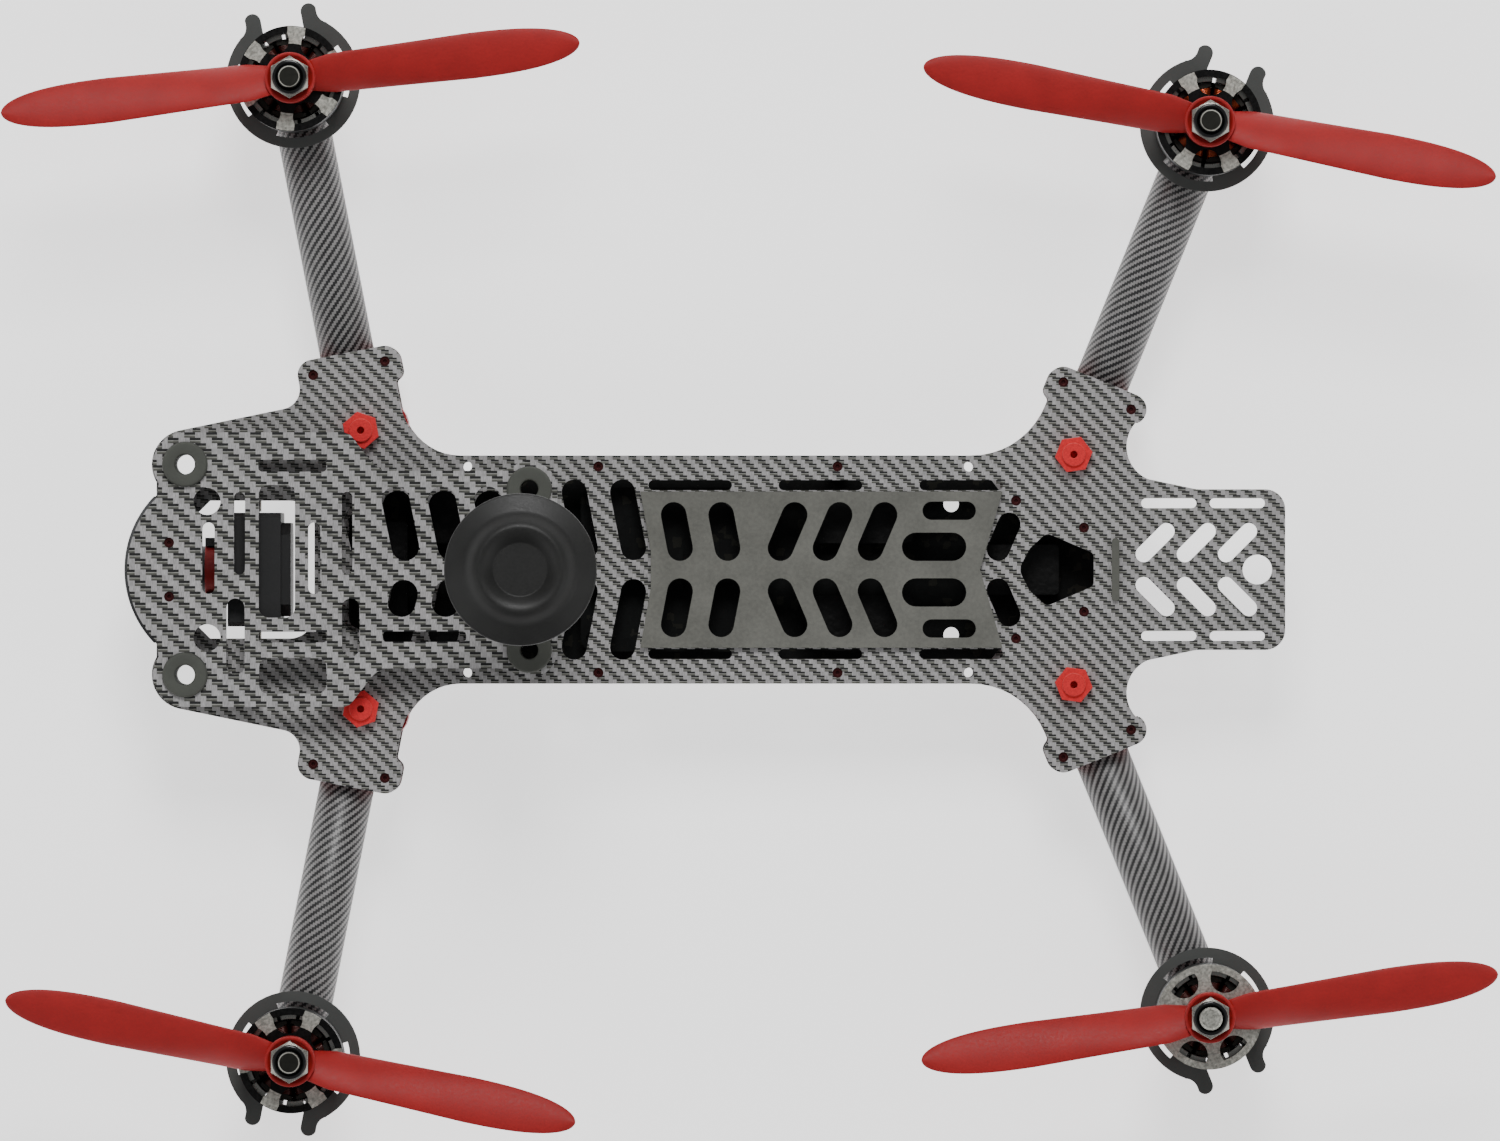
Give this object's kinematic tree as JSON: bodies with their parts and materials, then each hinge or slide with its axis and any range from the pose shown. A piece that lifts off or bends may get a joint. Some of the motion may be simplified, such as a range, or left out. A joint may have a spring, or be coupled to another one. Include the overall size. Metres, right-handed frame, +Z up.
{
  "type": "quadcopter drone",
  "caption": "Racing quadcopter: slotted carbon-plate body on tube arms with outrunner motors, two-blade propellers, a tilting nose camera and a damped camera plate.",
  "frame": {"origin": "on the ground plane under the feet, on the centre line, midway between the front and rear motor axes", "axes": "+X forward to the nose, +Y to the left, +Z up"},
  "size_m": [0.3261, 0.2482, 0.081],
  "materials": {
    "carbon_plate": "woven carbon laminate, fine twill, satin resin",
    "carbon_camera_plate": "woven carbon laminate, coarse twill, satin resin",
    "carbon_tube": "woven carbon tube, twill, satin resin",
    "bumper_plastic": "moulded, matte",
    "grommet_rubber": "soft grey rubber",
    "pad_rubber": "rough non-slip mat",
    "circuit_board": "black solder mask",
    "spacer_nylon": "black nylon",
    "electronics_cover": "black shrink sleeve",
    "antenna_brass": "plated brass",
    "antenna_plastic": "fine matte moulding",
    "red_anodised": "red anodised",
    "dark_red_screws": "red anodised, recessed",
    "foot_rubber": "black rubber",
    "black_aluminium": "black anodised",
    "steel": "plain",
    "tie_nylon": "grey nylon",
    "copper": "enamelled copper wire",
    "camera_plastic": "moulded, matte",
    "lens_glass": "coated glass",
    "guard_plastic": "matte laminate",
    "bell_metal": "black anodised with bare machined faces",
    "magnet_steel": "nickel plated",
    "propeller_red": "moulded, satin",
    "nut_steel": "nickel plated with a black nylon insert"
  },
  "bodies": {
    "airframe": {"lower_plate": "carbon_plate", "upper_plate": "carbon_plate", "camera_plate": "carbon_camera_plate", "nose_bumper": "bumper_plastic", "damper_grommets": "grommet_rubber", "battery_pad": "pad_rubber", "power_board": "circuit_board", "flight_controller": "circuit_board", "board_spacers": "spacer_nylon", "speed_controllers": "electronics_cover", "receiver": "electronics_cover", "video_transmitter": "electronics_cover", "antenna_socket": "antenna_brass", "antenna_stem": "antenna_plastic", "antenna_cap": "antenna_plastic", "frame_standoffs": "red_anodised", "frame_screws": "dark_red_screws", "arm_root_clamps": "red_anodised", "arm_edge_clamps": "red_anodised", "arm_root_bolts": "red_anodised", "landing_feet": "foot_rubber", "camera_brackets": "black_aluminium", "camera_pivot_screws": "steel", "cable_tie": "tie_nylon", "motor_bases": "black_aluminium", "motor_bearings": "steel", "motor_stators": "steel", "motor_windings": "copper", "front_left_arm_tube": "carbon_tube", "front_right_arm_tube": "carbon_tube", "rear_left_arm_tube": "carbon_tube", "rear_right_arm_tube": "carbon_tube", "front_left_motor_seat": "red_anodised", "front_right_motor_seat": "red_anodised", "rear_left_motor_seat": "red_anodised", "rear_right_motor_seat": "red_anodised", "front_left_guard_ring": "guard_plastic", "front_right_guard_ring": "guard_plastic", "rear_left_guard_ring": "guard_plastic", "rear_right_guard_ring": "guard_plastic"},
    "flight_camera": {"camera_case": "camera_plastic", "camera_lens": "camera_plastic", "camera_lens_ring": "red_anodised", "camera_glass": "lens_glass"},
    "front_left_rotor": {"front_left_motor_bell": "bell_metal", "front_left_motor_magnets": "magnet_steel", "front_left_propeller": "propeller_red", "front_left_prop_nut": "nut_steel"},
    "front_right_rotor": {"front_right_motor_bell": "bell_metal", "front_right_motor_magnets": "magnet_steel", "front_right_propeller": "propeller_red", "front_right_prop_nut": "nut_steel"},
    "rear_left_rotor": {"rear_left_motor_bell": "bell_metal", "rear_left_motor_magnets": "magnet_steel", "rear_left_propeller": "propeller_red", "rear_left_prop_nut": "nut_steel"},
    "rear_right_rotor": {"rear_right_motor_bell": "bell_metal", "rear_right_motor_magnets": "magnet_steel", "rear_right_propeller": "propeller_red", "rear_right_prop_nut": "nut_steel"}
  },
  "joints": [
    {"name": "front_left_rotor_spin", "type": "hinge", "parent": "airframe", "child": "front_left_rotor", "pos_m": [0.1001, 0.10707, 0.0432], "axis": [0, 0, 1], "continuous": true},
    {"name": "front_right_rotor_spin", "type": "hinge", "parent": "airframe", "child": "front_right_rotor", "pos_m": [0.1001, -0.10707, 0.0432], "axis": [0, 0, 1], "continuous": true},
    {"name": "rear_left_rotor_spin", "type": "hinge", "parent": "airframe", "child": "rear_left_rotor", "pos_m": [-0.1001, 0.09752, 0.0432], "axis": [0, 0, 1], "continuous": true},
    {"name": "rear_right_rotor_spin", "type": "hinge", "parent": "airframe", "child": "rear_right_rotor", "pos_m": [-0.1001, -0.09752, 0.0432], "axis": [0, 0, 1], "continuous": true},
    {"name": "camera_tilt", "type": "hinge", "parent": "airframe", "child": "flight_camera", "pos_m": [0.10872, 0, 0.0188], "axis": [0, -1, 0], "range_deg": [0, 30]}
  ]
}
